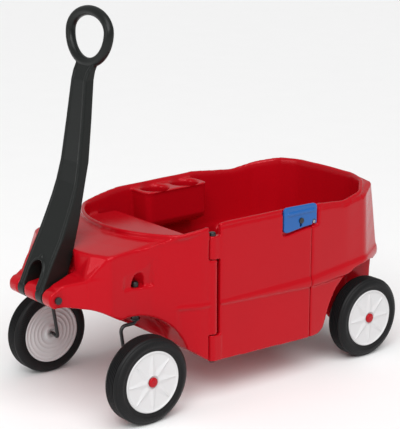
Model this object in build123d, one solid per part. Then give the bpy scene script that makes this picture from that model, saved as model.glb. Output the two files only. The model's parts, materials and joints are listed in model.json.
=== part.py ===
from build123d import *
from math import cos, radians, sin
import os

# Kids pull wagon with a side door, in millimetres.
# +X runs to the rear, the door side faces -Y, +Z is up and Z = 0 is the ground.
# Side profiles and plan outlines are given from the front axle and then shifted by front_axle_x.

# ---- driving dimensions: running gear -----------------------------------
wheel_radius = 97.5
wheelbase = 654.0
tyre_width = 50.0
wheel_outer_y = 222.0
wheel_inner_y = wheel_outer_y - tyre_width
disc_radius = 71.5
rod_radius = 4.0
rod_reach = 47.0
running_gap = 0.05
side_clearance = 0.5
bush_radius = 8.0
kingpin_offset_x = 16.0
kingpin_y = 136.0
riser_foot_x = -8.0
riser_top_x = -24.0
jog_z = 205.0
kingpin_top_z = 297.0
well_radius = 128.0
well_inner_y = 112.0
well_ceiling_z = 216.0
rear_arch_radius = 140.0
keel_half_width = 150.0
ledge_z = 288.0
scoop_radius = 17.0
scoop_top_z = 320.0

# ---- driving dimensions: handle -----------------------------------------
pivot_reach = 146.0
pivot_z = 276.0
pivot_bolt_radius = 5.0
lug_radius = 20.0
lug_outer_y = 82.0
lug_inner_y = 48.5
centre_lug_y = 21.5
prong_outer_y = 47.5
prong_inner_y = 22.5
ring_centre_x = 5.0
ring_centre_z = 822.0
ring_half_width = 71.0
ring_upper_half = 45.0
ring_lower_half = 65.0
ring_tube_radius = 11.0
ring_lean = 6.0

# ---- driving dimensions: tub and door -----------------------------------
wall = 3.5
rim_width = 6.5
back_lean = 7.0
rim_top_z = 440.0
hollow_top_z = 372.0
belt_z = 226.0
shoulder_z = 364.0
rim_foot_z = 400.0
floor_z = 96.0
seat_z = 262.0
corner_radius = 14.0
door_front_x = 199.0
door_rear_x = 461.0
door_gap = 2.0
door_inner_y = 192.0
hinge_reach = 184.0
hinge_y = 193.0
barrel_radius = 11.5
hinge_pin_radius = 4.0
lower_knuckle_z = 156.0
upper_knuckle_z = 332.0
knuckle_top_z = 384.0
latch_screw_reach = 428.0
latch_screw_z = 380.0
latch_travel = 12.0
latch_inner_y = 206.5
latch_outer_y = 213.5
keeper_reach = 469.0
keeper_z = 371.0
keeper_slot = 5.5

overall_front = -(pivot_reach + lug_radius)
overall_rear = wheelbase + wheel_radius
front_axle_x = -(overall_front + overall_rear) / 2
rear_axle_x = front_axle_x + wheelbase
pivot_x = front_axle_x - pivot_reach
kingpin_x = front_axle_x + kingpin_offset_x
hinge_x = front_axle_x + hinge_reach

SIDES = {"left": -1, "right": 1}


# ---- helpers ------------------------------------------------------------
def shifted(points):
    """Move points measured from the front axle into the wagon's frame."""
    return [(front_axle_x + p[0], p[1]) for p in points]


def y_prism(points, y_low, y_high):
    """Extrude a closed side profile of (x, z) points between two Y planes."""
    face = Plane.XZ * make_face(Polyline(*shifted(points), close=True))
    return Pos(0, y_high, 0) * extrude(face, y_high - y_low)


def box_between(x_span, y_span, z_span):
    """Box from three (low, high) spans, X measured from the front axle."""
    spans = ((front_axle_x + x_span[0], front_axle_x + x_span[1]), y_span, z_span)
    size = [high - low for low, high in spans]
    centre = [(high + low) / 2 for low, high in spans]
    return Pos(*centre) * Box(*size)


def y_cylinder(x, z, radius, y_low, y_high):
    """Cylinder along Y; x is in the wagon's frame."""
    return Pos(x, (y_low + y_high) / 2, z) * Rot(90, 0, 0) * Cylinder(radius, y_high - y_low)


def z_cylinder(x, y, radius, z_low, z_high):
    """Cylinder along Z; x is in the wagon's frame."""
    return Pos(x, y, (z_low + z_high) / 2) * Cylinder(radius, z_high - z_low)


def both_sides(shape):
    """A shape and its mirror image in the centre plane."""
    return shape + mirror(shape, Plane.XZ)


def keep(name, *solids):
    """Write one node: a single solid or a group of separate ones."""
    shape = solids[0] if len(solids) == 1 else Compound(children=list(solids))
    export_step(shape, f"parts/{name}.step")


def outline(half, inset=0.0, corner=corner_radius):
    """Plan face of a half outline and its mirror image, with rounded corners and pulled in by inset."""
    points = shifted(half)
    points = points + [(x, -y) for x, y in reversed(points)]
    face = make_face(Polyline(*points, close=True))
    if corner > 0:
        face = fillet(face.vertices(), corner)
    if inset > 0:
        face = offset(face, -inset, kind=Kind.INTERSECTION)
    return face


# ---- tub ----------------------------------------------------------------
belt_half = [(-38, -30), (-35, -60), (-24, -100), (3, -132), (100, -177), (200, -206), (462, -217), (650, -206),
             (736, -158), (744, -95)]
shoulder_half = [(-74, -50), (-86, -64), (-72, -116), (-50, -147), (60, -161), (200, -206), (462, -216),
                 (646, -203), (714, -155), (731, -93)]
rim_half = [(24, -30), (31, -60), (46, -105), (63, -137), (103, -187), (200, -205), (462, -213), (640, -198),
            (690, -150), (714, -90)]
block_half = [(-146, -82), (-132, -82), (-97, -121), (-54, -148), (10, -151), (47, -158), (147, -197), (200, -206),
              (462, -216), (560, -211), (640, -206)]
rim_profile = [(-200, 397), (96, 397), (210, 412), (345, 422), (455, 414), (567, 401), (640, 412), (690, 427)]
above_all = [(725, 430), (800, 430), (800, 520), (-200, 520)]
under_profile = [(172, 96), (488, 90), (512, 104), (524, 150), (640, 150), (640, 250), (200, 319), (-96, 319),
                 (-146, 299), (-146, 258), (-92, 254), (-70, 246), (0, 205), (50, 178), (100, 148)]
keel_profile = [(510, 240), (540, 150), (604, 80), (704, 80), (722, 150), (726, 240)]
hood_profile = [(-92, 300), (-92, 362), (110, 362), (110, 300)]


def upper_solid(inset, z_low, z_high):
    """Basin wall lofted through the belt, shoulder and rim outlines, upright above the rim's foot."""
    levels = ((belt_half, z_low), (shoulder_half, shoulder_z), (rim_half, rim_foot_z), (rim_half, z_high))
    return loft([Pos(0, 0, z) * outline(half, inset) for half, z in levels], ruled=True)


def outer_solid():
    """The tub's outer form before it is hollowed, door panel included."""
    upper = upper_solid(0, belt_z, rim_top_z) - y_prism(rim_profile + above_all, -300, 300)
    lower = y_prism(under_profile, -230, 230) & (Pos(0, 0, 60) * extrude(outline(block_half, corner=6), 260))
    hood = y_prism(hood_profile, -230, 230) & (Pos(0, 0, 290) * extrude(outline(shoulder_half, 0.8), 80))
    keel = y_prism(keel_profile, -keel_half_width, keel_half_width)
    body = upper + lower + hood + keel
    body += y_cylinder(pivot_x, pivot_z, lug_radius, -lug_outer_y, lug_outer_y)
    # room for the handle between its lugs and in front of the hood
    body -= box_between((-180, -74), (-prong_outer_y - 3, prong_outer_y + 3), (305, 400))
    for side in SIDES.values():
        middle = side * (centre_lug_y + lug_inner_y) / 2
        half_slot = (lug_inner_y - centre_lug_y) / 2
        body -= box_between((-180, -92), (middle - half_slot, middle + half_slot), (200, 340))
    return body


def wheel_wells():
    """Space above and behind the front wheels, and round the rear wheels."""
    well = y_cylinder(front_axle_x, wheel_radius, well_radius, -240, -well_inner_y)
    well += y_cylinder(rear_axle_x, wheel_radius, rear_arch_radius, -240, -keel_half_width)
    well += box_between((-200, kingpin_offset_x), (-240, -well_inner_y), (60, well_ceiling_z))
    return both_sides(well)


def under_pockets():
    """Hollows open from below, under the two seats, behind walls of even thickness."""
    top = seat_z - wall
    plan = Pos(0, 0, 60) * extrude(outline(block_half, wall, corner=0), top - 60)
    front = plan & box_between((-78, 186), (-230, 230), (60, top))
    arch = y_cylinder(front_axle_x, wheel_radius, well_radius + wall, -240, -well_inner_y + wall)
    arch += box_between((-200, kingpin_offset_x), (-240, -well_inner_y + wall), (60, well_ceiling_z + wall))
    arch += z_cylinder(kingpin_x, -kingpin_y, bush_radius + 5, 60, 400)
    front -= both_sides(arch)
    low_plan = Pos(0, 0, 60) * extrude(outline(belt_half, wall, corner=0), belt_z + 1 - 60)
    high_plan = Pos(0, 0, belt_z) * extrude(outline(rim_half, wall, corner=0), top - belt_z)
    rear = (low_plan + high_plan) & box_between((532, 760), (-230, 230), (60, top))
    keel_wall = box_between((520, 728), (-keel_half_width, keel_half_width), (60, top))
    keel_wall -= box_between((540, 716), (-keel_half_width + 5, keel_half_width - 5), (50, top + 1))
    return front + (rear - keel_wall)


def door_region(gap):
    """Everything that belongs to the door, grown by gap on its free edges."""
    return box_between((door_front_x - gap, door_rear_x + gap), (-240, -door_inner_y + gap), (60, 460))


def hinge_space():
    """Room for the door's two knuckles in front of the panel."""
    x_span = (hinge_reach - barrel_radius - door_gap, door_front_x)
    y_span = (-240, -hinge_y + barrel_radius + door_gap)
    upper = box_between(x_span, y_span, (upper_knuckle_z - door_gap, 460))
    lower = box_between(x_span, y_span, (60, lower_knuckle_z + door_gap))
    return upper + lower


def console():
    """Far-side ledge with two cup holders."""
    block = box_between((250, 432), (128, 202), (318, 404))
    block = fillet(block.edges().filter_by(Axis.Z), 18)
    for cup_x in (296, 386):
        block -= z_cylinder(front_axle_x + cup_x, 163, 34, 330, 420)
    return block


def basin_solid(grow, z_low):
    """Space above the seats, narrowing slightly downwards so that its ends lean like seat backs."""
    levels = ((rim_width + back_lean - grow, z_low), (rim_width - grow, rim_top_z + 1))
    return loft([Pos(0, 0, z) * outline(rim_half, inset) for inset, z in levels], ruled=True)


def end_hollows():
    """Spaces between the outer skin and the two seat backs, open from below."""
    nose = box_between((-60, 96), (-200, 200), (belt_z - 1, hollow_top_z))
    tail = box_between((540, 760), (-220, 220), (belt_z - 1, hollow_top_z))
    space = upper_solid(wall, belt_z - 1, rim_top_z) & (nose + tail)
    for side in SIDES.values():
        y_span = (side * kingpin_y - 24, side * kingpin_y + 30)
        space -= box_between((-60, 52), y_span, (200, scoop_top_z + wall))
    return space - basin_solid(wall, 200)


def tub_body(outer):
    basin = basin_solid(0, seat_z)
    foot_half = [(194, -191), (462, -203), (520, -200)]
    foot_side = [(194, floor_z + wall), (500, floor_z + wall), (514, 150), (518, seat_z + 20), (194, seat_z + 20)]
    footwell = y_prism(foot_side, -230, 230) & (Pos(0, 0, 60) * extrude(outline(foot_half, corner=0), 300))
    body = outer - wheel_wells()
    for pocket in under_pockets().solids():
        body -= pocket
    for hollow in end_hollows().solids():
        body -= hollow
    body = body - basin - footwell
    body += console() & outer
    # door opening, hinge knuckle space and the tub's own middle barrel
    body -= door_region(door_gap) + hinge_space()
    barrel_span = (lower_knuckle_z + door_gap, upper_knuckle_z - door_gap)
    barrel = z_cylinder(hinge_x, -hinge_y, barrel_radius, *barrel_span)
    body -= box_between((hinge_reach, door_front_x), (-240, -hinge_y + barrel_radius + door_gap), barrel_span)
    body += barrel
    body -= z_cylinder(hinge_x, -hinge_y, hinge_pin_radius, 60, 460)
    # kingpin ledges, bores and the recesses above them
    for side in SIDES.values():
        body -= z_cylinder(kingpin_x, side * kingpin_y, bush_radius, well_ceiling_z - 1, ledge_z + 1)
        body -= z_cylinder(kingpin_x, side * (kingpin_y + 6), scoop_radius, ledge_z, scoop_top_z)
    body -= y_cylinder(pivot_x, pivot_z, pivot_bolt_radius, -100, 100)
    body -= y_cylinder(rear_axle_x, wheel_radius, rod_radius, -180, 180)
    body -= latch_recess()
    body -= y_cylinder(front_axle_x + keeper_reach, keeper_z, 3, -230, -200)
    return body


def latch_recess():
    """Shallow recess shared by the door's corner and the tub beside it, open at the rim."""
    points = [(374, 352), (385, 352), (440, 359), (482, 362), (482, 460), (374, 460)]
    return y_prism(points, -240, -latch_inner_y + side_clearance)


def side_door(outer):
    door = outer & (door_region(0) - box_between((0, 800), (-door_inner_y, 300), (0, 600)))
    door &= box_between((0, 800), (-300, 300), (floor_z - 8, 600))
    for z_span in ((floor_z, lower_knuckle_z), (upper_knuckle_z, knuckle_top_z)):
        knuckle = z_cylinder(hinge_x, -hinge_y, barrel_radius, *z_span)
        web = box_between((hinge_reach, door_front_x + 2), (-hinge_y - barrel_radius, -hinge_y + 1), z_span)
        door += knuckle + web
    door -= z_cylinder(hinge_x, -hinge_y, hinge_pin_radius + running_gap, 60, 460)
    door -= latch_recess()
    door -= box_between((235, 425), (-door_inner_y - 6, -door_inner_y + 1), (140, 350))
    door -= y_cylinder(front_axle_x + latch_screw_reach, latch_screw_z, 3.0, -230, -150)
    return door


def door_hinge_cap():
    """Domed cap on the upper end of the hinge pin."""
    cap = z_cylinder(hinge_x, -hinge_y, 8, knuckle_top_z + side_clearance, knuckle_top_z + 8)
    cap = fillet(cap.edges().filter_by(GeomType.CIRCLE).group_by(Axis.Z)[-1], 3)
    return cap - z_cylinder(hinge_x, -hinge_y, hinge_pin_radius, 0, knuckle_top_z + 6)


def door_hinge_clip():
    """Push-on ring under the lower knuckle."""
    ring = z_cylinder(hinge_x, -hinge_y, 8, floor_z - 3, floor_z - side_clearance)
    return ring - z_cylinder(hinge_x, -hinge_y, hinge_pin_radius, 0, 200)


# ---- latch --------------------------------------------------------------
def latch_lever():
    """Sliding plate with an upright slot on its screw and a slot, open below, over the keeper."""
    screw_x = front_axle_x + latch_screw_reach
    keeper_x = front_axle_x + keeper_reach
    points = [(377, 362), (383, 357), (392, 357), (440, 363), (478, 365), (478, 408), (472, 414), (383, 416),
              (377, 410)]
    plate = y_prism(points, -latch_outer_y, -latch_inner_y)
    keeper_span = (keeper_reach - keeper_slot, keeper_reach + keeper_slot)
    plate -= box_between(keeper_span, (-230, -200), (350, keeper_z))
    plate -= y_cylinder(keeper_x, keeper_z, keeper_slot, -230, -200)
    plate += y_prism([(386, 396), (470, 396), (470, 403), (386, 403)], -latch_outer_y - 3, -latch_outer_y + 1)
    slot_half = 3 + running_gap
    slot_span = (latch_screw_reach - slot_half, latch_screw_reach + slot_half)
    plate -= box_between(slot_span, (-230, -150), (latch_screw_z - latch_travel, latch_screw_z))
    for z in (latch_screw_z - latch_travel, latch_screw_z):
        plate -= y_cylinder(screw_x, z, slot_half, -230, -150)
    return plate


def latch_screw():
    """Guide screw with a wide head outside the plate."""
    x = front_axle_x + latch_screw_reach
    head = y_cylinder(x, latch_screw_z, 6.5, -latch_outer_y - 3, -latch_outer_y - 0.4)
    return y_cylinder(x, latch_screw_z, 3, -latch_outer_y - 1, -195) + head


def latch_keeper():
    """Pin that stands out of the tub beside the door."""
    x = front_axle_x + keeper_reach
    return y_cylinder(x, keeper_z, 4, -latch_outer_y, -206) + y_cylinder(x, keeper_z, 3, -206, -200)


# ---- handle -------------------------------------------------------------
front_edge = [(-166, 276), (-165, 284), (-143, 331), (-133, 351), (-111, 392), (-93, 432), (-76, 472), (-64, 505),
              (-53, 550), (-39, 637), (-27, 723), (-21, 764)]
rear_edge = [(3, 764), (-3, 720), (-14, 635), (-26, 550), (-40, 501), (-57, 432), (-70, 388), (-82, 345), (-92, 316),
             (-94, 306), (-128, 287), (-126, 276)]
half_widths = [(47.5, 230), (47.5, 390), (45, 432), (42, 500), (38, 550), (34, 637), (29, 730), (30, 764)]


def handle():
    shaft = y_prism(front_edge + rear_edge, -60, 60)
    front_view = half_widths + [(-y, z) for y, z in reversed(half_widths)]
    across = Plane.YZ * make_face(Polyline(*front_view, close=True))
    shaft &= Pos(-600, 0, 0) * extrude(across, 1200)
    shaft += y_cylinder(pivot_x, pivot_z, lug_radius, -prong_outer_y, prong_outer_y)
    slot = box_between((-200, 0), (-prong_inner_y, prong_inner_y), (230, 322))
    slot_end = Pos(front_axle_x - 100, 0, 322) * Rot(0, 90, 0) * Cylinder(prong_inner_y, 240)
    shaft -= slot + slot_end
    shaft += ring_grip()
    return shaft - y_cylinder(pivot_x, pivot_z, pivot_bolt_radius + running_gap, -60, 60)


def ring_grip():
    """Egg-shaped loop of round section, one half ellipse above another, leaning back with the shaft."""
    centre = (front_axle_x + ring_centre_x, 0, ring_centre_z)
    leaning = Plane(centre, x_dir=(0, 1, 0), z_dir=(cos(radians(ring_lean)), 0, -sin(radians(ring_lean))))
    halves = []
    for half_height, start in ((ring_upper_half, 0), (ring_lower_half, 180)):
        path = leaning * EllipticalCenterArc((0, 0), ring_half_width, half_height, start, arc_size=180)
        section = Plane(origin=path @ 0, z_dir=path % 0) * Circle(ring_tube_radius)
        halves.append(sweep(section, path=path))
    return halves[0] + halves[1]


def pivot_bolt():
    bolt = y_cylinder(pivot_x, pivot_z, pivot_bolt_radius, -lug_outer_y, lug_outer_y + 9)
    return bolt + y_cylinder(pivot_x, pivot_z, 8, -lug_outer_y - 5, -lug_outer_y)


def pivot_nut():
    nut = Pos(pivot_x, lug_outer_y + 4, pivot_z) * Rot(90, 0, 0) * extrude(RegularPolygon(8.5, 6), 4, both=True)
    return nut - y_cylinder(pivot_x, pivot_z, pivot_bolt_radius, 0, 200)


# ---- wheels: built on +Z, the outer face up, then turned to +-Y ----------
def turned(profile):
    """Revolve a closed (radius, height) profile about Z."""
    return revolve(Plane.XZ * make_face(Polyline(*profile, close=True)), Axis.Z)


def tyre():
    groove_depth = 2.2
    tread = [(90, 2.2), (95, 5.5), (wheel_radius - 0.6, 9), (wheel_radius, 11)]
    for centre in (15, 20, 25, 30, 35):
        tread += [(wheel_radius, centre - 1.1), (wheel_radius - groove_depth, centre - 0.8),
                  (wheel_radius - groove_depth, centre + 0.8), (wheel_radius, centre + 1.1)]
    top = [(wheel_radius, 39), (wheel_radius - 0.6, 41), (95, 44.5), (90, 47.8), (84, 49.6), (78, 49.2)]
    top.append((disc_radius, 47))
    cavity = [(disc_radius, 41), (76, 41), (88, 39), (91, 35), (91, 15), (88, 11), (76, 9), (disc_radius, 9)]
    return turned([(disc_radius, 3), (78, 0.8), (84, 0.4)] + tread + top + cavity)


def outer_hub_half():
    profile = [(bush_radius, 26), (12, 26), (12, 42.5), (66, 42.5), (67, 26), (disc_radius, 26), (disc_radius, 48),
               (68.5, 48.8), (66, 46.5), (16, 46.5), (15, 48), (13.8, 48), (13.8, 46), (bush_radius, 46)]
    hub = turned(profile)
    for index in range(8):
        rib = Pos(40, 0, 46.5) * Box(44, 5, 2.4)
        hub += Rot(0, 0, 45 * index) * rib
    return hub


def inner_hub_half():
    profile = [(bush_radius, 0.5), (16, 0.5), (17, 4), (66, 4), (68, 2.5), (disc_radius, 3.5), (disc_radius, 25.5),
               (67, 25.5), (66, 8), (12, 8), (12, 25.5), (bush_radius, 25.5)]
    return turned(profile)


def wheel_bush():
    return turned([(rod_radius + running_gap, 0), (bush_radius, 0), (bush_radius, 44), (rod_radius + running_gap, 44)])


def hub_cap():
    outside = [(9.5, 46.1), (13.4, 46.1), (13.6, 48.5), (11.5, 50.8), (7, 52), (0, 52.2)]
    inside = [(0, 50.4), (7, 50), (9.5, 48)]
    return turned(outside + inside)


def axle_fasteners():
    """Inner washer and outer push nut, both fast on the rod."""
    washer = turned([(rod_radius, -1.6), (9, -1.6), (9, -side_clearance), (rod_radius, -side_clearance)])
    push_nut = turned([(rod_radius, 44.5), (8, 44.5), (6, 46.6), (rod_radius, 46.6)])
    return [washer, push_nut]


def placed_wheel(shape, x, side):
    """Turn a wheel piece from +Z to the outside of its side and move it to its axle."""
    return Pos(x, side * wheel_inner_y, wheel_radius) * Rot(-90 * side, 0, 0) * shape


def front_rod(side):
    """Stub axle, riser, jog and kingpin bent from one round rod."""
    points = [(front_axle_x, side * (wheel_inner_y + rod_reach), wheel_radius),
              (front_axle_x, side * (wheel_inner_y - 6), wheel_radius),
              (front_axle_x + riser_foot_x, side * kingpin_y, wheel_radius),
              (front_axle_x + riser_top_x, side * kingpin_y, jog_z),
              (kingpin_x, side * kingpin_y, jog_z),
              (kingpin_x, side * kingpin_y, kingpin_top_z)]
    path = FilletPolyline(*points, radius=[14, 13, 12, 6])
    section = Plane(origin=path @ 0, z_dir=path % 0) * Circle(rod_radius)
    return sweep(section, path=path)


def kingpin_bush(side):
    """Flanged sleeve pressed into the tub."""
    sleeve = z_cylinder(kingpin_x, side * kingpin_y, bush_radius, well_ceiling_z, ledge_z)
    sleeve += z_cylinder(kingpin_x, side * kingpin_y, 11, well_ceiling_z - 2, well_ceiling_z)
    return sleeve - z_cylinder(kingpin_x, side * kingpin_y, rod_radius + running_gap, 200, 300)


def kingpin_fasteners(side):
    """Thrust washer under the bush and domed push nut above it, both fast on the rod."""
    x, y = kingpin_x, side * kingpin_y
    bore = z_cylinder(x, y, rod_radius, 200, kingpin_top_z)
    washer = z_cylinder(x, y, 9, well_ceiling_z - 4, well_ceiling_z - 2 - side_clearance) - bore
    nut = z_cylinder(x, y, 8, ledge_z + side_clearance, kingpin_top_z + 3)
    nut = fillet(nut.edges().filter_by(GeomType.CIRCLE).group_by(Axis.Z)[-1], 4) - bore
    return [washer, nut]


def main():
    os.makedirs("parts", exist_ok=True)
    outer = outer_solid()
    keep("tub_body", tub_body(outer))
    keep("side_door", side_door(outer))
    keep("latch_lever", latch_lever())
    keep("latch_pivot_screw", latch_screw())
    keep("latch_keeper", latch_keeper())
    keep("door_hinge_pin", z_cylinder(hinge_x, -hinge_y, hinge_pin_radius, floor_z - 4, knuckle_top_z + 6))
    keep("door_hinge_cap", door_hinge_cap())
    keep("door_hinge_clip", door_hinge_clip())
    keep("handle", handle())
    keep("handle_pivot_bolt", pivot_bolt())
    keep("handle_pivot_nut", pivot_nut())
    for name, side in SIDES.items():
        keep(f"front_{name}_rod", front_rod(side))
        keep(f"front_{name}_kingpin_bush", kingpin_bush(side))
        keep(f"front_{name}_kingpin_fasteners", *kingpin_fasteners(side))
        for row, x in (("front", front_axle_x), ("rear", rear_axle_x)):
            keep(f"{row}_{name}_tyre", placed_wheel(tyre(), x, side))
            keep(f"{row}_{name}_outer_hub", placed_wheel(outer_hub_half(), x, side))
            keep(f"{row}_{name}_inner_hub", placed_wheel(inner_hub_half(), x, side))
            keep(f"{row}_{name}_bush", placed_wheel(wheel_bush(), x, side))
            keep(f"{row}_{name}_hub_cap", placed_wheel(hub_cap(), x, side))
            fasteners = [placed_wheel(piece, x, side) for piece in axle_fasteners()]
            keep(f"{row}_{name}_axle_fasteners", *fasteners)
    keep("rear_axle", y_cylinder(rear_axle_x, wheel_radius, rod_radius, -wheel_inner_y - rod_reach,
                                   wheel_inner_y + rod_reach))


if __name__ == "__main__":
    main()
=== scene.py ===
import json
from math import cos, hypot, pi, radians, sin

import bmesh
import bpy
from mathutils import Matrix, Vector


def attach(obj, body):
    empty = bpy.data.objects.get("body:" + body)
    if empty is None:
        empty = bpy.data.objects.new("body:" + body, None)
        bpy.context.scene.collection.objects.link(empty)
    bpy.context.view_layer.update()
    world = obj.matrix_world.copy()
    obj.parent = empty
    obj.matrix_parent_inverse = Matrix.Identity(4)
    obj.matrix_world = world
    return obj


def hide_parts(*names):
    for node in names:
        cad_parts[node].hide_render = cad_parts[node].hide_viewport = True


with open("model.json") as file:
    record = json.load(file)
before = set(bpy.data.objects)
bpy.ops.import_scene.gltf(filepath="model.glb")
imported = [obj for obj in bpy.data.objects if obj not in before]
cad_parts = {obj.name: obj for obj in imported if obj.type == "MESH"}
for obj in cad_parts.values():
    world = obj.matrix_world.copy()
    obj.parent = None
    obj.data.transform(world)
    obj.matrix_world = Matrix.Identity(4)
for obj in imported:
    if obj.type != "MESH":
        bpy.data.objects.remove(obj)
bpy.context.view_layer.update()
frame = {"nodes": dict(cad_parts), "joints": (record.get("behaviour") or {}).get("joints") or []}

# A kids pull wagon. The CAD frame is in metres; every shape below is given in millimetres:
# x back from the front axle, y across (the door side is -Y), z up from the ground.
MM = 0.001
joint_at = {joint["name"]: Vector(joint["pos_m"]) for joint in frame["joints"]}
front_axle = joint_at["front_left_spin"]
wheelbase = (joint_at["rear_left_spin"].x - front_axle.x) / MM
axle_z = front_axle.z / MM
pivot_x = (joint_at["handle_pitch"].x - front_axle.x) / MM
pivot_z = joint_at["handle_pitch"].z / MM
kingpin_x = (joint_at["front_left_steer"].x - front_axle.x) / MM
hinge_x = (joint_at["door_swing"].x - front_axle.x) / MM
hinge_y = joint_at["door_swing"].y / MM
latch_x = (joint_at["latch_lift"].x - front_axle.x) / MM
latch_z = joint_at["latch_lift"].z / MM
SIDES = {"left": -1, "right": 1}


# ---- mesh helpers -----------------------------------------------------------
def at(x, y, z):
    """A point in millimetres from the front axle, as metres in the frame."""
    return Vector((front_axle.x + x * MM, y * MM, z * MM))


def mesh_object(name, points, faces):
    """A new object from points in millimetres, with its faces turned outwards."""
    mesh = bpy.data.meshes.new(name)
    mesh.from_pydata([at(*point) for point in points], [], faces)
    tidy = bmesh.new()
    tidy.from_mesh(mesh)
    bmesh.ops.recalc_face_normals(tidy, faces=tidy.faces)
    tidy.to_mesh(mesh)
    tidy.free()
    piece = bpy.data.objects.new(name, mesh)
    bpy.context.scene.collection.objects.link(piece)
    return piece


def loft(name, loops):
    """A closed solid through loops that all have the same number of points."""
    count = len(loops[0])
    points = [point for loop in loops for point in loop]
    faces = []
    for row in range(len(loops) - 1):
        for i in range(count):
            j = (i + 1) % count
            faces.append((row * count + i, row * count + j, (row + 1) * count + j, (row + 1) * count + i))
    faces.append(tuple(range(count)))
    faces.append(tuple(range((len(loops) - 1) * count, len(loops) * count)))
    return mesh_object(name, points, faces)


def y_prism(name, profile, y_low, y_high):
    """A side profile of (x, z) points carried across from y_low to y_high."""
    return loft(name, [[(x, y, z) for x, z in profile] for y in (y_low, y_high)])


def z_prism(name, plan, z_low, z_high):
    """A plan of (x, y) points carried up from z_low to z_high."""
    return loft(name, [[(x, y, z) for x, y in plan] for z in (z_low, z_high)])


def block(name, x_span, y_span, z_span):
    """A plain cutting or filling block between three spans."""
    plan = [(x_span[0], y_span[0]), (x_span[1], y_span[0]), (x_span[1], y_span[1]), (x_span[0], y_span[1])]
    return z_prism(name, plan, *z_span)


def circle(u, v, radius, count=48):
    """Points of a circle in any plane."""
    turns = [2 * pi * k / count for k in range(count)]
    return [(u + radius * cos(turn), v + radius * sin(turn)) for turn in turns]


def fillet(points, radius, closed=True, steps=5):
    """Round a path's corners, each by an arc-like curve of steps points, in two or three dimensions."""
    rounded = []
    count = len(points)
    for i, point in enumerate(points):
        if not closed and i in (0, count - 1):
            rounded.append(tuple(point))
            continue
        corner, before, after = Vector(point), Vector(points[i - 1]), Vector(points[(i + 1) % count])
        start = corner + (before - corner) * min(radius / (before - corner).length, 0.48)
        end = corner + (after - corner) * min(radius / (after - corner).length, 0.48)
        for k in range(steps):
            t = k / (steps - 1)
            rounded.append(tuple(start * (1 - t) ** 2 + corner * 2 * t * (1 - t) + end * t ** 2))
    return rounded


def mirrored(half):
    """A closed loop from its half with y below 0; its first and last points lie on the centre plane."""
    return half + [(p[0], -p[1], *p[2:]) for p in reversed(half[1:-1])]


def height_along(profile, x):
    """The z of a profile of (x, z) points at one x."""
    for (x0, z0), (x1, z1) in zip(profile, profile[1:]):
        if x <= x1:
            return z0 + (z1 - z0) * max(0.0, (x - x0) / (x1 - x0))
    return profile[-1][1]


def mixed(loop_a, loop_b, share):
    """A loop between two others."""
    return [tuple(a + (b - a) * share for a, b in zip(p, q)) for p, q in zip(loop_a, loop_b)]


def inward(loop, distance, rise=0.0):
    """A loop moved into itself in plan and raised; distance can be one number or one for each point."""
    moved = []
    count = len(loop)
    for i, (x, y, z) in enumerate(loop):
        ahead, behind = loop[(i + 1) % count], loop[i - 1]
        dx, dy = ahead[0] - behind[0], ahead[1] - behind[1]
        length = hypot(dx, dy) or 1.0
        step = distance[i] if isinstance(distance, list) else distance
        lift = rise[i] if isinstance(rise, list) else rise
        moved.append((x - dy / length * step, y + dx / length * step, z + lift))
    return moved


def drop(*pieces):
    """Remove helper objects."""
    for piece in pieces:
        bpy.data.objects.remove(piece, do_unlink=True)


def copy_of(piece, name):
    """A second object with its own copy of the mesh."""
    double = piece.copy()
    double.data = piece.data.copy()
    double.name = name
    bpy.context.scene.collection.objects.link(double)
    return double


def joined(name, pieces):
    """One object that holds the meshes of several; the old ones are removed."""
    merged = bmesh.new()
    for piece in pieces:
        merged.from_mesh(piece.data)
    mesh = bpy.data.meshes.new(name)
    merged.to_mesh(mesh)
    merged.free()
    drop(*pieces)
    result = bpy.data.objects.new(name, mesh)
    bpy.context.scene.collection.objects.link(result)
    return result


def settle(piece):
    """Apply every modifier."""
    bpy.context.view_layer.update()
    graph = bpy.context.evaluated_depsgraph_get()
    mesh = bpy.data.meshes.new_from_object(piece.evaluated_get(graph))
    piece.modifiers.clear()
    piece.data = mesh


def combine(piece, operation, others):
    """Union, difference or intersection with other solids, which are then removed."""
    group = bpy.data.collections.new("operands")
    for other in others:
        group.objects.link(other)
    step = piece.modifiers.new("combine", "BOOLEAN")
    step.operation = operation
    step.solver = "EXACT"
    step.use_self = True
    step.operand_type = "COLLECTION"
    step.collection = group
    settle(piece)
    bpy.data.collections.remove(group)
    drop(*others)


def mould(piece, voxel, smoothing):
    """Re-skin a solid evenly and soften its edges, as a moulding's are."""
    skin = piece.modifiers.new("skin", "REMESH")
    skin.mode = "VOXEL"
    skin.voxel_size = voxel * MM
    soften = piece.modifiers.new("soften", "SMOOTH")
    soften.factor = 0.5
    soften.iterations = smoothing
    settle(piece)
    shade_smooth(piece)


def shade_smooth(piece):
    """Smooth shading over the whole piece."""
    piece.data.polygons.foreach_set("use_smooth", [True] * len(piece.data.polygons))
    piece.data.update()


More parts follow.
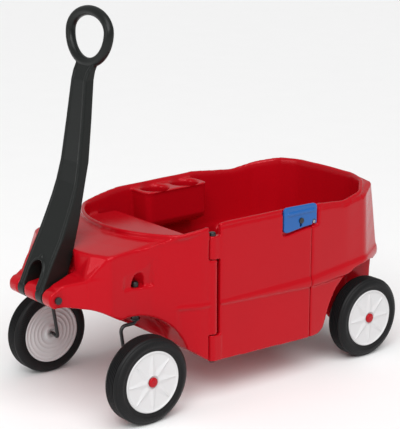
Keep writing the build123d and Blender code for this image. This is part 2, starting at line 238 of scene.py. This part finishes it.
# ---- tub and door: outlines -------------------------------------------------
rim_radius = 5.5
seat_z = 262.0
floor_z = 99.5
beside_y = 240.0
front_well_radius, front_well_y = 128.0, 112.0
rear_well_radius, rear_well_y = 140.0, 150.5
keel_y = 149.0
rim_half = [(24, 0), (31, -60), (46, -105), (63, -137), (83, -165), (103, -187), (150, -199), (200, -205),
            (462, -213), (581, -208), (640, -198), (690, -150), (712, -95), (716, 0)]
shoulder_half = [(-70, 0), (-84, -62), (-75, -108), (-55, -146), (10, -151), (66, -163), (150, -198),
                 (200, -206), (462, -216), (581, -211), (646, -202), (714, -155), (730, -98), (732, 0)]
belt_half = [(-38, 0), (-35, -60), (-24, -100), (3, -132), (46, -154), (100, -177), (150, -198), (200, -206),
             (462, -217), (581, -212), (650, -206), (736, -158), (744, -100), (746, 0)]
rim_profile = fillet([(-200, 397), (98, 397), (205, 412), (345, 422), (462, 413), (567, 401), (640, 414),
                      (690, 428), (800, 429)], 22, closed=False)
shoulder_profile = fillet([(-90, 366), (-9, 367), (10, 368), (38, 374), (90, 390), (120, 402)], 8,
                          closed=False)
belt_profile = fillet([(-40, 240), (3, 232), (46, 231), (200, 230), (462, 236), (581, 246), (742, 257)], 20,
                      closed=False)


def closed_loop(half, corner):
    """A plan loop with rounded corners, ready for its heights."""
    rounded = fillet(half, corner, closed=False, steps=7)
    return mirrored([(x, y, 0.0) for x, y in rounded])


def raised(loop, heights):
    """Give each point of a plan loop its own height."""
    return [(x, y, heights(x)) for x, y, _ in loop]


def shoulder_height(rim_z, x):
    """The shoulder crease rises to the rim at the door hinge and then stays just under it."""
    under_rim = rim_z - 2.6 * rim_radius
    return min(height_along(shoulder_profile, x), under_rim) if x < 150 else under_rim


def tub_loops():
    """Every ring of the tub's skin, from its underside up over the rim and down to the seat."""
    rim = raised(closed_loop(rim_half, 16), lambda x: height_along(rim_profile, x))
    belt = raised(closed_loop(belt_half, 11), lambda x: height_along(belt_profile, x))
    shoulder_plan = closed_loop(shoulder_half, 11)
    shoulder = [(x, y, shoulder_height(rim_point[2], x)) for (x, y, _), rim_point in zip(shoulder_plan, rim)]
    band = [4 + 20 * min(1.0, max(0.0, (x - 200) / 340)) for x, _, _ in belt]
    bulge = [-0.5 - 2.5 * (depth - 4) / 20 for depth in band]
    lip_foot = inward(rim, 3.6, -2.3 * rim_radius)
    hood_edge = mixed(shoulder, lip_foot, 0.05)
    wall_foot = inward(belt, 1.8, 6.0)
    seat_back = inward(rim, 17.0)
    return [
        [(x, y, 224.0) for x, y, _ in inward(belt, 30.0)],
        inward(belt, 16.0, [-depth - 4.0 for depth in band]),
        inward(belt, 3.5, [-depth - 2.0 for depth in band]),
        inward(belt, [edge + 1.0 for edge in bulge], [-depth for depth in band]),
        inward(belt, bulge, [-0.55 * depth for depth in band]),
        inward(belt, [edge * 0.6 for edge in bulge], -3.0),
        belt,
        wall_foot,
        mixed(wall_foot, shoulder, 0.35),
        mixed(wall_foot, shoulder, 0.7),
        [(x, y, z - 4.0) for x, y, z in shoulder],
        shoulder,
        inward(hood_edge, 0.0, 2.0),
        mixed(hood_edge, lip_foot, 0.5),
        lip_foot,
        inward(rim, 0.8, -1.75 * rim_radius),
        inward(rim, 0.0, -rim_radius),
        inward(rim, 0.3 * rim_radius, -0.3 * rim_radius),
        inward(rim, rim_radius),
        inward(rim, 1.7 * rim_radius, -0.3 * rim_radius),
        inward(rim, 2.0 * rim_radius, -rim_radius),
        inward(rim, 2.3 * rim_radius, -2.6 * rim_radius),
        [(x, y, seat_z + 70.0) for x, y, _ in seat_back],
        [(x, y, seat_z + 14.0) for x, y, _ in inward(rim, 20.0)],
        [(x, y, seat_z + 4.0) for x, y, _ in inward(rim, 23.0)],
        [(x, y, seat_z) for x, y, _ in inward(rim, 32.0)],
    ]


# ---- tub and door: solids ---------------------------------------------------
under_profile = fillet([(-150, 258), (-92, 254), (-70, 246), (0, 205), (50, 178), (100, 148), (140, 120),
                        (172, 97), (200, 95), (488, 90), (508, 102), (524, 150), (640, 150)], 9, closed=False)
lug_radius = 20.0
lug_spans = {"left": (-82, -48.5), "centre": (-21.5, 21.5), "right": (48.5, 82)}


def nose_block():
    """The block under the nose that carries the handle lugs and the front wheels."""
    back = 190
    low_front = [(-84, 0), (-84, -50), (-142, -50), (-143, -81), (-132, -83), (-97, -120)]
    low_sides = [(-54, -147), (10, -151), (47, -157), (100, -176), (back, -176)]
    hood_front = [(-73, 0), (-74, -50), (-86, -52), (-84, -64), (-76, -106), (-58, -143)]
    top_heights = ((-143, 301), (-97, 318), (-80, 321))
    low = closed_loop(low_front + low_sides + [(back, 0)], 5)
    loops = [[(x, y, z) for x, y, _ in low] for z in (60, 296)]
    loops.append([(x, y, height_along(top_heights, x)) for x, y, _ in low])
    tier = loft("nose_block", loops)
    hood_foot = [(-73, 0), (-74, -50), (-84, -52), (-88, -66), (-94, -102), (-95, -119)]
    hood_loops = []
    for z, front in ((296, hood_foot), (320, hood_foot), (364, hood_front)):
        hood_loops.append([(x, y, z) for x, y, _ in closed_loop(front + low_sides + [(back, 0)], 5)])
    hood = loft("hood", hood_loops)
    return joined("nose", [tier, hood])


def lower_body():
    """The footwell's box and the side walls that run back over the rear wheels."""
    plan = [(100, 0), (100, -172), (147, -194), (200, -203.5), (462, -214), (560, -209), (640, -203),
            (640, 0)]
    return z_prism("lower_body", [(x, y) for x, y, _ in closed_loop(plan, 8)], 60, 246)


def keel():
    """The narrow box between the rear wheels."""
    profile = fillet([(510, 240), (540, 150), (604, 80), (704, 80), (722, 150), (727, 240)], 12)
    return y_prism("keel", profile, -keel_y, keel_y)


def lugs():
    """Three rounded ears for the handle's bolt."""
    ears = []
    for name, (y_low, y_high) in lug_spans.items():
        ears.append(y_prism(f"lug_{name}", circle(pivot_x, pivot_z, lug_radius), y_low, y_high))
        top_z = 318 if name != "centre" else 300
        cheek = [(pivot_x - 3, pivot_z + 19.6), (-97, top_z), (-60, top_z), (-60, 246),
                 (pivot_x, pivot_z - lug_radius)]
        ears.append(y_prism(f"cheek_{name}", cheek, y_low, y_high))
    return ears


def wheel_space(name, side, x, radius, inner_y):
    """Room round one wheel, open to the outside and downwards."""
    y_span = sorted((side * inner_y, side * beside_y))
    return y_prism(name, circle(x, axle_z, radius, 96), *y_span)


def below_sides(side):
    """The same cut beside the keel, where the wall stops at a straight line."""
    y_span = sorted((side * keel_y, side * beside_y))
    return y_prism("below_side", under_profile + [(680, 150), (680, 20), (-150, 20)], *y_span)


def outer_form():
    """The tub's outside with the door panel in place and the seats closed."""
    shell = loft("shell", tub_loops())
    side_cuts = [below_sides(side) for side in SIDES.values()]
    body = joined("body", [nose_block(), lower_body(), *lugs()])
    middle_cut = y_prism("middle_cut", under_profile[:-1] + [(524, 20), (-150, 20)], -beside_y, beside_y)
    combine(body, "DIFFERENCE", [middle_cut])
    combine(body, "DIFFERENCE", [block("tail", (524, 700), (-keel_y, keel_y), (20, 244))] + side_cuts)
    combine(body, "UNION", [shell, keel()])
    return body


def footwell():
    """Room for legs between the two seats."""
    levels = ((floor_z, 0), (floor_z + 5, -5), (floor_z + 40, -7), (seat_z - 6, -9), (seat_z + 3, -16),
              (seat_z + 20, -20))
    loops = []
    for z, grow in levels:
        half = [(200 + grow, 0), (200 + grow, -186), (462, -190), (500 - grow, -188), (500 - grow, 0)]
        loops.append([(x, y, z) for x, y, _ in closed_loop(half, 12)])
    return loft("footwell", loops)


def under_spaces():
    """Hollows open from below under the seats and between the double walls."""
    top = seat_z - 5
    front_plan = [(-24, -92), (120, -100), (178, -176), (178, 176), (120, 100), (-24, 92)]
    front = z_prism("front_space", front_plan, 50, top)
    rear = block("rear_space", (545, 712), (-140, 140), (50, top))
    spaces = [front, rear]
    for side in SIDES.values():
        y_span = sorted((side * 155, side * 188))
        spaces.append(block("side_space", (540, 660), y_span, (120, 250)))
    return spaces


def console():
    """The ledge with two cup holders on the far side, undercut towards the wall and flared at its top."""
    plan = fillet([(250, 128), (432, 128), (432, 203), (250, 203)], 18)
    loops = []
    for z, nearest_y in ((300, 168), (318, 134), (330, 128), (398, 128)):
        loops.append([(x, max(y, nearest_y), z) for x, y in plan])
    loops.append(inward([(x, y, 404) for x, y in plan], -3.0))
    return loft("console", loops)


def cup_holders():
    """Two round wells with rounded floors."""
    wells = []
    for x in (296, 386):
        rings = ((324, 20), (326, 27), (332, 31.5), (398, 33), (403, 36), (420, 40))
        wells.append(loft("cup", [[(u, v, z) for u, v in circle(x, 163, radius)] for z, radius in rings]))
    return wells


def kingpin_pocket(side):
    """The scoop over one front kingpin, and the narrow ledge that the wall steps out on below it."""
    rings = ((288, 16, 142), (300, 15.5, 144), (311, 13, 150), (322, 9, 157))
    scoop_loops = []
    for z, radius, y in rings:
        scoop_loops.append([(u, side * v, z) for u, v in circle(kingpin_x, y, radius)])
    scoop = loft("scoop", scoop_loops)
    loops = []
    for z, move in ((288, -1), (318, 3), (348, 9)):
        plan = fillet([(-22, 145 + move), (50, 150 + move), (50, beside_y), (-22, beside_y)], 3)
        loops.append([(u, side * v, z) for u, v in plan])
    return [scoop, loft("ledge_room", loops)]


door_x = (199.0, 461.0)
door_gap = 2.0
door_inner_y = -192.0
door_cut_y = -260.0
cut_z = (40.0, 470.0)
barrel_radius = 11.5
pin_bore_radius = 4.2
recess_y = -206.0
knuckle_bottom_z = 96.0
knuckle_low_z = 156.0
knuckle_high_z = 332.0
knuckle_top_z = 384.0


def latch_recess():
    """The shallow recess that the latch lies in, across the door's corner and the tub beside it."""
    profile = fillet([(374, 351), (386, 350), (440, 358), (482, 362), (482, 470), (374, 470)], 4)
    return y_prism("latch_recess", profile, -beside_y, recess_y)


def pin_bore():
    """The hole for the hinge pin."""
    return z_prism("pin_bore", circle(hinge_x, hinge_y, pin_bore_radius, 24), *cut_z)


def make_tub(outer):
    """The tub: outside, footwell, wheel spaces, door opening and hinge barrel."""
    tub = copy_of(outer, "tub")
    cuts = [footwell(), *under_spaces()]
    for name, side in SIDES.items():
        cuts.append(wheel_space(f"front_well_{name}", side, 0, front_well_radius, front_well_y))
        cuts.append(wheel_space(f"rear_well_{name}", side, wheelbase, rear_well_radius, rear_well_y))
        fore_y = sorted((side * front_well_y, side * beside_y))
        cuts.append(block(f"fore_well_{name}", (-120, kingpin_x), fore_y, (60, 216)))
        cuts += kingpin_pocket(side)
    combine(tub, "DIFFERENCE", cuts)
    combine(tub, "UNION", [console()])
    opening_x = (door_x[0] - door_gap, door_x[1] + door_gap)
    opening = block("opening", opening_x, (door_cut_y, door_inner_y + door_gap), cut_z)
    hinge_room = (hinge_x - barrel_radius - door_gap, door_x[0])
    room_y = (door_cut_y, hinge_y + barrel_radius + door_gap)
    upper = block("upper", hinge_room, room_y, (knuckle_high_z - door_gap, cut_z[1]))
    lower = block("lower", hinge_room, room_y, (cut_z[0], knuckle_low_z + door_gap))
    beside = block("beside", (hinge_x, door_x[0]), room_y, (knuckle_low_z, knuckle_high_z))
    combine(tub, "DIFFERENCE", [opening, upper, lower, beside, latch_recess(), *cup_holders()])
    barrel = z_prism("barrel", circle(hinge_x, hinge_y, barrel_radius, 32), knuckle_low_z + door_gap,
                     knuckle_high_z - door_gap)
    combine(tub, "UNION", [barrel])
    combine(tub, "DIFFERENCE", [pin_bore()])
    return tub


def make_door(outer):
    """The door: its share of the outside, a framed inner face and two hinge knuckles."""
    door = copy_of(outer, "door")
    combine(door, "INTERSECT", [block("panel", door_x, (door_cut_y, door_inner_y), (86, cut_z[1]))])
    frame_plan = fillet([(235, -186), (425, -186), (420, -198), (240, -198)], 4)
    frame_cut = z_prism("frame_cut", frame_plan, 140, 350)
    combine(door, "DIFFERENCE", [frame_cut, latch_recess()])
    knuckles = []
    for z_low, z_high in ((knuckle_bottom_z, knuckle_low_z), (knuckle_high_z, knuckle_top_z)):
        knuckles.append(z_prism("knuckle", circle(hinge_x, hinge_y, barrel_radius, 32), z_low, z_high))
        web_y = (hinge_y - barrel_radius, hinge_y + 1)
        knuckles.append(block("web", (hinge_x, door_x[0] + 3), web_y, (z_low, z_high)))
    combine(door, "UNION", knuckles)
    combine(door, "DIFFERENCE", [pin_bore()])
    return door


outer = outer_form()
tub = make_tub(outer)
door = make_door(outer)
drop(outer)
mould(tub, 3.0, 3)
mould(door, 2.0, 3)
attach(tub, "tub")
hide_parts("tub_body")
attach(door, "door")
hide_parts("side_door")


# ---- handle -----------------------------------------------------------------
handle_front = [(-166, 276), (-165, 284), (-143, 331), (-133, 351), (-111, 392), (-93, 432), (-76, 472),
                (-64, 505), (-53, 550), (-39, 637), (-27, 723), (-20, 742), (-10, 757)]
handle_rear = [(-128, 287), (-94, 306), (-92, 316), (-82, 345), (-70, 388), (-57, 432), (-40, 501),
               (-26, 550), (-14, 635), (-3, 720), (1, 742), (6, 757)]
handle_width = [(47, 230), (47, 390), (45, 432), (42, 500), (38, 550), (34, 637), (29, 723), (29.5, 738),
                (34, 757)]
slot_half_width = 22.5
slot_top_z = 322.0


def across(pairs, z):
    """The first value of (value, z) pairs at one height."""
    return height_along([(high, value) for value, high in pairs], z)


def handle_section(z):
    """One level cross-section: a slightly sunk front face between two edge rails, and tapered sides."""
    front, rear, half = across(handle_front, z), across(handle_rear, z), across(handle_width, z)
    sunk = front + 1.6
    side = [(sunk, 0), (sunk, -half + 10.5), (front, -half + 8.5), (front, -half + 3.2),
            (front + 2.6, -half + 0.4), (rear - 2.0, -half + 3.0), (rear, -half + 6.0), (rear, 0)]
    return mirrored([(x, y, z) for x, y in side])


def slot_rim():
    """The raised band round the slot on the handle's front face."""
    rim_reach = 28.0
    loops = []
    for k in range(13):
        z = 290 + k * 5.4
        over = max(0.0, z - slot_top_z)
        half = max(3.0, (rim_reach ** 2 - over ** 2) ** 0.5 if over < rim_reach else 3.0)
        front = across(handle_front, z)
        loops.append([(front - 2.2, -half + 2, z), (front - 0.4, -half, z), (front + 5, -half, z),
                      (front + 5, half, z), (front - 0.4, half, z), (front - 2.2, half - 2, z)])
    return loft("slot_rim", loops)


def ring_grip():
    """The egg-shaped loop at the top, of round section."""
    centre = Vector((5.0, 0.0, 822.0))
    up = Vector((sin(radians(6)), 0.0, cos(radians(6))))
    side, out = Vector((0.0, 1.0, 0.0)), Vector((cos(radians(6)), 0.0, -sin(radians(6))))
    count, around = 96, 20
    points, faces = [], []
    for k in range(count):
        angle = 2 * pi * k / count
        tall = 45.0 if sin(angle) > 0 else 65.0
        spot = centre + side * 71.0 * cos(angle) + up * tall * sin(angle)
        outward = (side * cos(angle) / 71.0 + up * sin(angle) / tall).normalized()
        for j in range(around):
            turn = 2 * pi * j / around
            points.append(tuple(spot + outward * 10.9 * cos(turn) + out * 10.9 * sin(turn)))
            a, b = k * around + j, k * around + (j + 1) % around
            c, d = ((k + 1) % count) * around + (j + 1) % around, ((k + 1) % count) * around + j
            faces.append((a, b, c, d))
    return mesh_object("ring_grip", points, faces)


def make_handle():
    """The pull handle: tapered shaft, two prongs, slot with its rim, and the ring."""
    levels = [287, 296, 306, 316, 331, 345, 360, 376, 392, 412, 432, 452, 472, 505, 528, 550, 595, 637,
              680, 723, 742, 757]
    shaft = loft("handle", [handle_section(z) for z in levels])
    foot = loft("foot", [[(x, y, z) for x, z in ((-165, 277), (-164, 286), (-128, 288), (-126.5, 277))]
                         for y in (-47, 47)])
    eye = y_prism("eye", circle(pivot_x, pivot_z, 19.8, 64), -47.3, 47.3)
    combine(shaft, "UNION", [foot, eye, slot_rim(), ring_grip()])
    slot = block("slot", (-220, 0), (-slot_half_width, slot_half_width), (230, slot_top_z))
    end_points = circle(0, slot_top_z, slot_half_width, 48)
    slot_end = loft("slot_end", [[(x, y, z) for y, z in end_points] for x in (-220, 0)])
    bore = y_prism("bore", circle(pivot_x, pivot_z, 5.4, 32), -60, 60)
    combine(shaft, "DIFFERENCE", [slot, slot_end, bore])
    mould(shaft, 1.5, 2)
    return shaft


handle = make_handle()
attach(handle, "handle")
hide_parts("handle")


# ---- latch ------------------------------------------------------------------
keeper_x, keeper_z = 469.0, 371.0
catch_radius = 5.4
guide_radius = 3.2
latch_travel = 12.0
slot_y = (-230.0, -200.0)


def make_latch():
    """The blue sliding plate with its finger ridge, guide slot and keeper slot."""
    outline = fillet([(377.3, 362), (383, 357.3), (392, 357.3), (440, 363.2), (477.7, 365.3), (477.7, 408),
                      (472, 413.7), (383, 415.7), (377.3, 410)], 4)
    plate = y_prism("latch", outline, -213.0, -206.7)
    centre = Vector((427.0, 388.0))
    raised_outline = [tuple(centre + (Vector(p) - centre) * 0.93) for p in outline]
    panel = y_prism("panel", raised_outline, -213.8, -212.0)
    ridge = y_prism("ridge", fillet([(386, 396), (470, 396), (470, 403), (386, 403)], 3), -216.3, -212.5)
    combine(plate, "UNION", [panel, ridge])
    catch = block("catch", (keeper_x - catch_radius, keeper_x + catch_radius), slot_y, (340, keeper_z))
    catch_top = y_prism("catch_top", circle(keeper_x, keeper_z, catch_radius, 32), *slot_y)
    guide_z = (latch_z - latch_travel, latch_z)
    guide = block("guide", (latch_x - guide_radius, latch_x + guide_radius), slot_y, guide_z)
    guide_ends = [y_prism("guide_end", circle(latch_x, z, guide_radius, 24), *slot_y) for z in guide_z]
    combine(plate, "DIFFERENCE", [catch, catch_top, guide, *guide_ends])
    mould(plate, 0.9, 3)
    return plate


latch = make_latch()
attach(latch, "latch")
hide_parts("latch_lever")


# ---- wheels -----------------------------------------------------------------
wheel_inner_y = 172.0


def lathe(name, profile, x, side, count=160, relief=None):
    """A closed turned solid from (radius, height) points; height runs out from the wheel's inner face."""
    points, faces = [], []
    rings = len(profile)
    for k in range(count):
        turn = 2 * pi * k / count
        for radius, height in profile:
            lift = relief(radius, height, turn) if relief else 0.0
            y = side * (wheel_inner_y + height + lift)
            points.append((x + radius * cos(turn), y, axle_z + radius * sin(turn)))
        for j in range(rings):
            a, b = k * rings + j, k * rings + (j + 1) % rings
            c, d = ((k + 1) % count) * rings + (j + 1) % rings, ((k + 1) % count) * rings + j
            faces.append((a, b, c, d))
    return mesh_object(name, points, faces)


def tyre_profile():
    """Inner bead, rounded shoulder, five grooves, and an outer wall with a step ring."""
    tread = [(72, 3.2), (77, 1.2), (83, 0.7), (88, 1.6), (92, 3.6), (95.2, 6.2), (96.8, 9), (97.4, 11.5)]
    for centre in (15, 20, 25, 30, 35):
        tread += [(97.4, centre - 1.7), (96.9, centre - 1.35), (94.4, centre - 1.0), (94.4, centre + 1.0),
                  (96.9, centre + 1.35), (97.4, centre + 1.7)]
    wall = [(97.4, 38.4), (96.6, 40.6), (95.0, 42.6), (93.4, 43.6), (92.9, 43.7), (92.4, 44.7), (90.5, 46.4),
            (87, 48.3), (83, 49.3), (79.5, 49.2), (77.6, 48.6), (77.0, 47.9), (73.5, 47.5), (70.6, 47.2),
            (69.3, 46.4)]
    inside = [(69.3, 40), (80, 40), (80, 10), (71.8, 10)]
    return tread + wall + inside


def star(radius, height, turn):
    """Eight tapering ridges that run out from the hub over the disc's face."""
    if height < 44 or not 16 < radius < 63:
        return 0.0
    step = pi / 4
    away = abs((turn + step / 2) % step - step / 2) * radius
    half = 12.5 * (1.02 - (radius - 16) / 50)
    ramp = min(1.0, (63 - radius) / 4, (radius - 15) / 3)
    return 2.7 * max(0.0, 1 - away / half) * ramp


def outer_profile():
    """Outer disc: dished face, bright lip at its edge and a collar round the hub."""
    face = [(13.9, 46.0), (14.1, 47.8), (14.8, 48.3), (16.2, 48.0), (17.0, 46.6), (18.5, 46.0)]
    face += [(20 + 2.4 * k, 45.9 + 0.5 * k / 17) for k in range(18)]
    lip = [(63.2, 46.6), (64.2, 47.0), (65.2, 48.3), (66.3, 48.8), (67.8, 48.5), (69.0, 47.2), (69.1, 44)]
    back = [(69.1, 27), (66.5, 27), (66, 42), (12, 42), (12, 27), (8.1, 27), (8.1, 46)]
    return face + lip + back


def inner_profile():
    """Inner disc: shallow cone with concentric rings."""
    face = [(8.1, 1.0), (15.5, 0.8), (16.6, 1.4), (17.4, 4.6), (24, 4.2)]
    for ring in (28, 38, 48, 58):
        face += [(ring, 4.4), (ring + 0.8, 3.9), (ring + 2.6, 3.9), (ring + 3.4, 4.5)]
    lip = [(65, 4.8), (66.4, 3.6), (68, 2.7), (70.4, 3.0), (71.5, 4.4)]
    back = [(71.5, 25), (67, 25), (66, 8.5), (12, 8.5), (12, 25), (8.1, 25)]
    return face + lip + back


def cap_profile():
    """Domed cap, set in the hub's collar with a dark gap round it."""
    outside = [(11.2, 46.3), (11.4, 47.2), (11.4, 48.4), (11.0, 49.6), (10.2, 50.5), (8.8, 51.3), (6.8, 51.8),
               (4, 52.1), (0.4, 52.2)]
    return outside + [(0.4, 50.6), (6, 50.2), (8.4, 48.4), (8.4, 46.3)]


for row, row_x in (("front", 0.0), ("rear", wheelbase)):
    for name, side in SIDES.items():
        wheel = f"{row}_{name}"
        shapes = (
            ("tyre", "tyre_black", tyre_profile(), 192, None),
            ("outer_hub", "white_disc", outer_profile(), 192, star),
            ("inner_hub", "white_disc", inner_profile(), 128, None),
            ("hub_cap", "red_cap", cap_profile(), 64, None),
        )
        for part, finish, profile, count, relief in shapes:
            piece = lathe(f"{wheel}_{part}_skin", profile, row_x, side, count, relief)
            shade_smooth(piece)
            if part in ("outer_hub", "tyre"):
                piece.data.set_sharp_from_angle(angle=radians(32))
            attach(piece, f"{wheel}_wheel")
            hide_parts(f"{wheel}_{part}")
            frame["nodes"][f"{wheel}_{part}"] = piece


# ---- materials --------------------------------------------------------------
def grain_material(name, colour, rough, rough_spread, grain_scale, grain_depth, shade=0.08, metal=0.0,
                   coat=0.0, specular=0.5, sheen=(1.0, 1.0, 1.0)):
    """Plastic, rubber or metal with fine grain, uneven gloss and a slight change of shade."""
    material = bpy.data.materials.new(name)
    material.use_nodes = True
    tree = material.node_tree
    new, link = tree.nodes.new, tree.links.new
    shader = tree.nodes["Principled BSDF"]
    where = new("ShaderNodeTexCoord")
    broad = new("ShaderNodeTexNoise")
    broad.inputs["Scale"].default_value = 6.0
    broad.inputs["Detail"].default_value = 3.0
    link(where.outputs["Object"], broad.inputs["Vector"])
    fine = new("ShaderNodeTexNoise")
    fine.inputs["Scale"].default_value = grain_scale
    fine.inputs["Detail"].default_value = 4.0
    link(where.outputs["Object"], fine.inputs["Vector"])
    tint = new("ShaderNodeMix")
    tint.data_type = "RGBA"
    tint.inputs["A"].default_value = (*[c * (1 - shade) for c in colour], 1)
    tint.inputs["B"].default_value = (*[min(1.0, c * (1 + shade)) for c in colour], 1)
    link(broad.outputs["Fac"], tint.inputs["Factor"])
    link(tint.outputs["Result"], shader.inputs["Base Color"])
    gloss = new("ShaderNodeMapRange")
    gloss.inputs["From Min"].default_value = 0.3
    gloss.inputs["From Max"].default_value = 0.7
    gloss.inputs["To Min"].default_value = rough - rough_spread
    gloss.inputs["To Max"].default_value = rough + rough_spread
    link(fine.outputs["Fac"], gloss.inputs["Value"])
    link(gloss.outputs["Result"], shader.inputs["Roughness"])
    bump = new("ShaderNodeBump")
    bump.inputs["Strength"].default_value = 0.35
    bump.inputs["Distance"].default_value = grain_depth * MM
    link(fine.outputs["Fac"], bump.inputs["Height"])
    link(bump.outputs["Normal"], shader.inputs["Normal"])
    shader.inputs["Metallic"].default_value = metal
    shader.inputs["Coat Weight"].default_value = coat
    shader.inputs["Coat Roughness"].default_value = 0.25
    shader.inputs["Specular IOR Level"].default_value = specular
    shader.inputs["Specular Tint"].default_value = (*sheen, 1)
    return material, bump


def radial_ticks(material, bump):
    """Fine ticks across a tyre's side wall, fading out towards the tread and the disc."""
    tree = material.node_tree
    new, link = tree.nodes.new, tree.links.new
    where = new("ShaderNodeTexCoord")
    middle = new("ShaderNodeVectorMath")
    middle.operation = "SUBTRACT"
    middle.inputs[1].default_value = (0.5, 0.5, 0.5)
    link(where.outputs["Generated"], middle.inputs[0])
    parts = new("ShaderNodeSeparateXYZ")
    link(middle.outputs["Vector"], parts.inputs["Vector"])

    def maths(operation, first, second):
        node = new("ShaderNodeMath")
        node.operation = operation
        for socket, value in zip(node.inputs, (first, second)):
            if isinstance(value, (int, float)):
                socket.default_value = value
            else:
                link(value, socket)
        return node.outputs["Value"]

    turn = maths("ARCTAN2", parts.outputs["Z"], parts.outputs["X"])
    wave = maths("SINE", maths("MULTIPLY", turn, 140.0), 0.0)
    across_x = maths("MULTIPLY", parts.outputs["X"], parts.outputs["X"])
    across_z = maths("MULTIPLY", parts.outputs["Z"], parts.outputs["Z"])
    radius = maths("SQRT", maths("ADD", across_x, across_z), 0.0)
    outside = maths("GREATER_THAN", radius, 0.41)
    inside = maths("LESS_THAN", radius, 0.475)
    ticks = maths("MULTIPLY", wave, maths("MULTIPLY", outside, inside))
    ridged = new("ShaderNodeBump")
    ridged.inputs["Strength"].default_value = 0.5
    ridged.inputs["Distance"].default_value = 0.35 * MM
    link(ticks, ridged.inputs["Height"])
    link(bump.outputs["Normal"], ridged.inputs["Normal"])
    link(ridged.outputs["Normal"], tree.nodes["Principled BSDF"].inputs["Normal"])


RED = (0.43, 0.0022, 0.0075)
BLUE = (0.004, 0.10, 0.36)
red, _ = grain_material("red_shell", RED, 0.20, 0.04, 900, 0.03, 0.05, specular=0.45,
                        sheen=(1.0, 0.28, 0.32))
blue, _ = grain_material("blue_latch", BLUE, 0.34, 0.05, 900, 0.05, 0.06)
handle_black, _ = grain_material("black_handle", (0.007, 0.0085, 0.0078), 0.36, 0.09, 1400, 0.16, 0.2,
                                 specular=0.26)
cap_black, _ = grain_material("black_cap", (0.008, 0.008, 0.008), 0.32, 0.06, 900, 0.05, 0.15)
bolt_black, _ = grain_material("black_bolt", (0.010, 0.010, 0.010), 0.34, 0.08, 1200, 0.04, 0.2, coat=0.1)
rod_black, _ = grain_material("painted_rod", (0.012, 0.012, 0.013), 0.36, 0.08, 800, 0.05, 0.2)
steel, _ = grain_material("rod_steel", (0.42, 0.42, 0.42), 0.34, 0.08, 1600, 0.03, 0.1, metal=1.0)
screw_steel, _ = grain_material("screw_steel", (0.38, 0.38, 0.38), 0.36, 0.08, 1500, 0.03, 0.1, metal=1.0)
tyre_black, tyre_bump = grain_material("tyre_black", (0.006, 0.006, 0.0065), 0.46, 0.08, 700, 0.10, 0.2,
                                       specular=0.22)
radial_ticks(tyre_black, tyre_bump)
white, _ = grain_material("white_disc", (0.66, 0.655, 0.66), 0.38, 0.05, 900, 0.04, 0.02)
nylon, _ = grain_material("bush_nylon", (0.6, 0.59, 0.55), 0.5, 0.06, 700, 0.05, 0.04)
cap_red, _ = grain_material("red_cap", (0.40, 0.004, 0.009), 0.22, 0.04, 900, 0.03, 0.05,
                            sheen=(1.0, 0.4, 0.45))

finishes = (("tyre", tyre_black), ("outer_hub", white), ("inner_hub", white), ("hub_cap", cap_red),
            ("axle_fasteners", steel), ("kingpin_fasteners", cap_black), ("kingpin_bush", cap_black),
            ("bush", nylon), ("rod", rod_black), ("latch_pivot_screw", bolt_black),
            ("latch_keeper", screw_steel), ("door_hinge_pin", steel), ("door_hinge", cap_black),
            ("handle_pivot", bolt_black), ("rear_axle", steel))


def finish_for(node):
    """The first finish whose name is part of the node's."""
    for word, material in finishes:
        if word in node:
            return material
    return cap_black


def paint(piece, material):
    """Give the whole piece one material."""
    piece.data.materials.clear()
    piece.data.materials.append(material)


for node, piece in frame["nodes"].items():
    paint(piece, finish_for(node))
for piece, material in ((tub, red), (door, red), (handle, handle_black), (latch, blue)):
    paint(piece, material)


# ---- floor, light and camera ------------------------------------------------
def stage_floor():
    """A wide pale floor with a very soft mottle."""
    reach = 7.0
    mesh = bpy.data.meshes.new("floor")
    corners = [(-reach, -reach, 0), (reach, -reach, 0), (reach, reach, 0), (-reach, reach, 0)]
    mesh.from_pydata(corners, [], [(0, 1, 2, 3)])
    floor = bpy.data.objects.new("floor", mesh)
    bpy.context.scene.collection.objects.link(floor)
    pale, _ = grain_material("floor", (0.92, 0.92, 0.92), 0.7, 0.05, 60, 0.05, 0.01, specular=0.15)
    paint(floor, pale)
    return floor


stage_floor()
world = bpy.data.worlds.new("studio")
bpy.context.scene.world = world
world.use_nodes = True
world.node_tree.nodes["Background"].inputs["Color"].default_value = (1, 1, 1, 1)
world.node_tree.nodes["Background"].inputs["Strength"].default_value = 0.45


def soft_light(name, place, aim, size, power):
    """A square area light pointed at the wagon."""
    lamp = bpy.data.lights.new(name, "AREA")
    lamp.size = size
    lamp.energy = power
    light = bpy.data.objects.new(name, lamp)
    bpy.context.scene.collection.objects.link(light)
    light.location = place
    light.rotation_euler = (Vector(aim) - Vector(place)).to_track_quat("-Z", "Y").to_euler()


def distant_light(name, heading, spread, strength):
    """A very large, soft source far away, so that the whole floor is evenly lit."""
    lamp = bpy.data.lights.new(name, "SUN")
    lamp.angle = radians(spread)
    lamp.energy = strength
    light = bpy.data.objects.new(name, lamp)
    bpy.context.scene.collection.objects.link(light)
    light.rotation_euler = (-Vector(heading)).to_track_quat("-Z", "Y").to_euler()


distant_light("overhead", (-0.35, -0.75, 1.2), 60, 2.1)
soft_light("key", (-1.9, -1.6, 2.2), (0.0, 0.0, 0.3), 0.8, 16)
soft_light("front", (-3.0, 0.4, 1.5), (-0.2, 0.0, 0.4), 1.2, 12)

lens = bpy.data.cameras.new("camera")
lens.lens = 116.4
lens.dof.use_dof = False
camera = bpy.data.objects.new("camera", lens)
bpy.context.scene.collection.objects.link(camera)
camera.location = (-1.945, -2.431, 1.222)
aim_point = Vector((-0.142, -0.192, 0.437))
camera.rotation_euler = (aim_point - camera.location).to_track_quat("-Z", "Y").to_euler()
bpy.context.scene.camera = camera
bpy.context.scene.view_settings.view_transform = "Standard"
